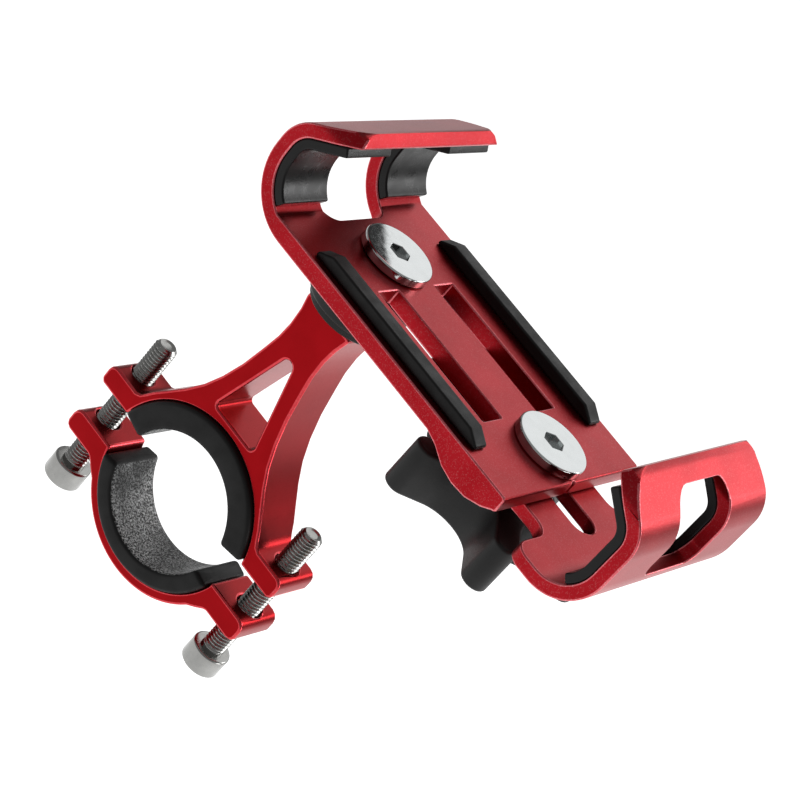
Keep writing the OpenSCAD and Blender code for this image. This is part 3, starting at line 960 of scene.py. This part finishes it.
@dataclass
class Jaw:
    """Sliding tongue with the second hook and its linings."""

    node: str = "sliding_jaw"
    sheet_edge_mm: float = 0.35
    rim_least_deg: float = 52.0
    lip_spare_mm: float = 1.2
    lining_edge_mm: float = 0.4
    linings: tuple[str, ...] = ("jaw_pad_left", "jaw_pad_right")

    def build(self) -> None:
        """Make and dress the jaw and its rubber."""
        tongue = softened(self.node, self.sheet_edge_mm, least_deg=self.rim_least_deg,
                          spare_mm=self.lip_spare_mm)
        # The rounded edges take a paler red: a painted highlight.
        fit_out(tongue, Body.JAW, Finish.BLASTED, self.node,
                Finish.BLASTED_EDGE_HIGHLIGHT)
        fit_rubber(self.linings, self.lining_edge_mm, Body.JAW, Finish.LINING)


@dataclass
class StarKnob:
    """Five-lobed knob with its brass insert and steel washer."""

    lobes: int = 5
    tip_r_mm: float = 22.2
    lobe_r_mm: float = 2.8
    waist_r_mm: float = 10.0
    bore_r_mm: float = 4.0
    body_h_mm: float = 10.8
    collar_r_mm: float = 6.4
    edge_mm: float = 0.7
    bore_chamfer_mm: float = 0.3
    collar_chamfer_mm: float = 0.2
    insert_edge_mm: float = 0.25
    washer_edge_mm: float = 0.2
    hollow_steps: int = 10
    tip_steps: int = 12

    def outline(self) -> np.ndarray:
        """Star outline, counter-clockwise, one hollow side facing -x.

        Each lobe is a hollow arc, a half circle at the tip and a hollow arc; the hollow
        arcs touch the waist circle and run into the lobe's parallel sides.

        Returns:
            Array of point by two, in millimetres.
        """
        half = 180.0 / self.lobes
        s = math.sin(math.radians(half))
        c = math.cos(math.radians(half))
        side_c = (self.waist_r_mm - self.lobe_r_mm) / (1.0 - s)
        side_r = side_c - self.waist_r_mm
        tip = self.tip_r_mm - self.lobe_r_mm
        lobe = np.concatenate([
            arc(side_c * c, -side_c * s, side_r, 180.0 - half, 90.0, self.hollow_steps),
            arc(tip, 0.0, self.lobe_r_mm, -90.0, 90.0, self.tip_steps),
            arc(side_c * c, side_c * s, side_r, 270.0, 180.0 + half, self.hollow_steps)[:-1]])
        turns = 2.0 * math.pi * np.arange(self.lobes) / self.lobes
        cos, sin = np.cos(turns)[:, None], np.sin(turns)[:, None]
        x = lobe[None, :, 0] * cos - lobe[None, :, 1] * sin
        y = lobe[None, :, 0] * sin + lobe[None, :, 1] * cos
        return np.stack([x, y], axis=-1).reshape(-1, 2)

    def build(self) -> None:
        """Make and dress the knob, its insert and its washer."""
        low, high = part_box("knob")
        insert_low, insert_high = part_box("knob_insert")
        centre_y = insert_low.lerp(insert_high, 0.5).y / MM
        bottom, top = low.z / MM, high.z / MM
        body_top = bottom + self.body_h_mm
        star = slab_rings(self.outline(), bottom, body_top, self.edge_mm)
        polar = np.arctan2(star[0, :, 1], star[0, :, 0])

        def circle(r: float, z: float) -> np.ndarray:
            """Circle of radius r at height z, with a point at each of the star's own angles.

            Args:
                r: its radius.
                z: its height.

            Returns:
                Array of point, xyz.
            """
            return np.stack([r * np.cos(polar), r * np.sin(polar), np.full_like(polar, z)],
                            axis=-1)

        bore, in_bore = self.bore_r_mm, self.bore_chamfer_mm
        collar, off = self.collar_r_mm, self.collar_chamfer_mm
        stack = np.stack([circle(bore, bottom + in_bore), circle(bore + in_bore, bottom), *star,
                          circle(collar, body_top), circle(collar, top - off),
                          circle(collar - off, top), circle(bore, top)])
        stack[..., 1] += centre_y
        fit_out(loop_object("star_knob", stack * MM), Body.KNOB, Finish.PLASTIC,
                "knob")
        fit_out(softened("knob_insert", self.insert_edge_mm), Body.KNOB,
                Finish.BRASS, "knob_insert")
        fit_out(softened("knob_washer", self.washer_edge_mm), Body.WASHER,
                Finish.ZINC, "knob_washer")


# --------------------------------------------------------------------------- studio


@dataclass(frozen=True)
class Camera:
    """Long lens, above and to the left of the mount, turned so that the arm leans."""

    place: Triple = (-0.4222, -0.1746, 0.2888)
    right: Triple = (0.54436, -0.59568, 0.59063)
    down: Triple = (-0.10141, -0.74566, -0.65857)
    lens_mm: float = 122.19
    sensor_mm: float = 36.0
    shift_x: float = -0.0188
    shift_y: float = 0.0139

    def build(self) -> None:
        """Make the scene's camera, its axes squared up from right and down."""
        data = bpy.data.cameras.new("camera")
        data.lens = self.lens_mm
        data.sensor_width = self.sensor_mm
        data.shift_x = self.shift_x
        data.shift_y = self.shift_y
        data.clip_start = 0.01
        data.clip_end = 50.0
        camera = bpy.data.objects.new("camera", data)
        right = Vector(self.right).normalized()
        down = Vector(self.down)
        down = (down - right * down.dot(right)).normalized()
        forward = right.cross(down)
        turn = Matrix((right, -down, -forward)).transposed().to_4x4()
        camera.matrix_world = Matrix.Translation(self.place) @ turn
        bpy.context.scene.collection.objects.link(camera)
        bpy.context.scene.camera = camera


@dataclass(frozen=True)
class SoftBox:
    """Square area light."""

    name: str
    place: Triple
    size: float
    power_w: float

    def build(self, aim: Triple) -> None:
        """Hang the light.

        Args:
            aim: the point that it faces.
        """
        data = bpy.data.lights.new(self.name, "AREA")
        data.shape = "SQUARE"
        data.size = self.size
        data.energy = self.power_w
        lamp = bpy.data.objects.new(self.name, data)
        lamp.location = self.place
        towards = Vector(aim) - Vector(self.place)
        lamp.rotation_euler = towards.to_track_quat("-Z", "Y").to_euler()
        bpy.context.scene.collection.objects.link(lamp)


@dataclass(frozen=True)
class Studio:
    """White floor, even sky and three soft boxes."""

    floor_z: float = -0.45
    floor_half: float = 6.0
    floor_glow: float = 0.72
    sky: float = 0.33
    aim: Triple = (0.0, -0.02, 0.04)
    boxes: tuple[SoftBox, ...] = (
        SoftBox("key", (0.85, 0.0, 0.50), 0.9, 2.5),
        SoftBox("lip", (0.80, -0.60, 0.52), 0.4, 3.2),
        SoftBox("side", (0.25, -0.95, 0.10), 0.4, 2.4))

    def build(self) -> None:
        """Make the floor, the sky and the lights."""
        self.build_floor()
        self.build_sky()
        for box in self.boxes:
            box.build(self.aim)
        bpy.context.scene.view_settings.view_transform = "Standard"

    def build_floor(self) -> None:
        """Lay a square of faintly glowing white paper."""
        h = self.floor_half
        mesh = bpy.data.meshes.new("floor")
        corners = [(-h, -h, self.floor_z), (h, -h, self.floor_z), (h, h, self.floor_z),
                   (-h, h, self.floor_z)]
        mesh.from_pydata(corners, [], [(0, 1, 2, 3)])
        floor = bpy.data.objects.new("floor", mesh)
        g = Graph("floor")
        shade = g.ramp(g.noise(0.02, 2.0), 0.3, 0.7)
        paper = g.mix(shade, (0.93, 0.93, 0.93), (0.95, 0.95, 0.95))
        mesh.materials.append(g.finish(Base_Color=paper, Roughness=0.9,
                                       Emission_Color=(1.0, 1.0, 1.0),
                                       Emission_Strength=self.floor_glow))
        bpy.context.scene.collection.objects.link(floor)

    def build_sky(self) -> None:
        """Light the scene evenly from all round."""
        world = bpy.data.worlds.new("sky")
        world.use_nodes = True
        sky = world.node_tree.nodes["Background"]
        sky.inputs["Color"].default_value = (1.0, 1.0, 1.0, 1.0)
        sky.inputs["Strength"].default_value = self.sky
        bpy.context.scene.world = world


def main() -> None:
    """Build the mount from the bar upwards, then the studio."""
    logging.basicConfig(level=logging.INFO, format="%(name)s %(message)s")
    Camera().build()
    HandlebarClamp().build()
    ClampScrew("clamp_screw_a", Body.SCREW_A).build()
    ClampScrew("clamp_screw_b", Body.SCREW_B).build()
    SwivelDisc().build()
    FlatScrew("swivel_screw", Body.ARM, shank_r_mm=3.0).build()
    Holder().build()
    FlatScrew("jaw_screw", Body.HOLDER, shank_r_mm=2.5).build()
    Jaw().build()
    StarKnob().build()
    Studio().build()


if __name__ == "__main__":
    main()
